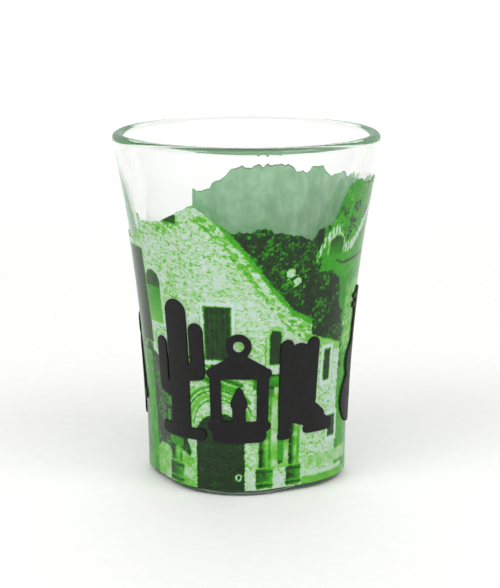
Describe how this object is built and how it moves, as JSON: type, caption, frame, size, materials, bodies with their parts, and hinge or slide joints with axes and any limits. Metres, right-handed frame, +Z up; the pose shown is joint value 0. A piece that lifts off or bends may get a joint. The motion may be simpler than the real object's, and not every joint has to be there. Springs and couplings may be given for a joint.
{
  "type": "shot glass",
  "caption": "Small souvenir drinking glass with a rounded-square foot, flared round mouth, wrap-around green print and raised black rubber motifs.",
  "frame": {"origin": "centre of the foot, on the surface the glass stands on", "axes": "+Z up through the mouth; the foot's flats face X and Y"},
  "size_m": [0.048, 0.048, 0.0624],
  "materials": {
    "clear_glass": "clear pressed glass with a faint green tint, smooth and polished",
    "backing_ink": "opaque sage-green backing ink, seen through the glass from inside",
    "picture_ink": "two-tone green and white picture print under a clear gloss coat",
    "black_rubber": "satin black moulded rubber"
  },
  "bodies": {
    "root": {"glass_cup": "clear_glass", "print_backing": "backing_ink", "print_picture": "picture_ink", "relief_cactus": "black_rubber", "relief_lantern": "black_rubber", "relief_boot": "black_rubber", "relief_guitar": "black_rubber", "relief_chili": "black_rubber", "relief_sprig": "black_rubber", "relief_sunflower": "black_rubber", "relief_key": "black_rubber", "relief_weathervane": "black_rubber", "relief_bell": "black_rubber"}
  },
  "joints": []
}
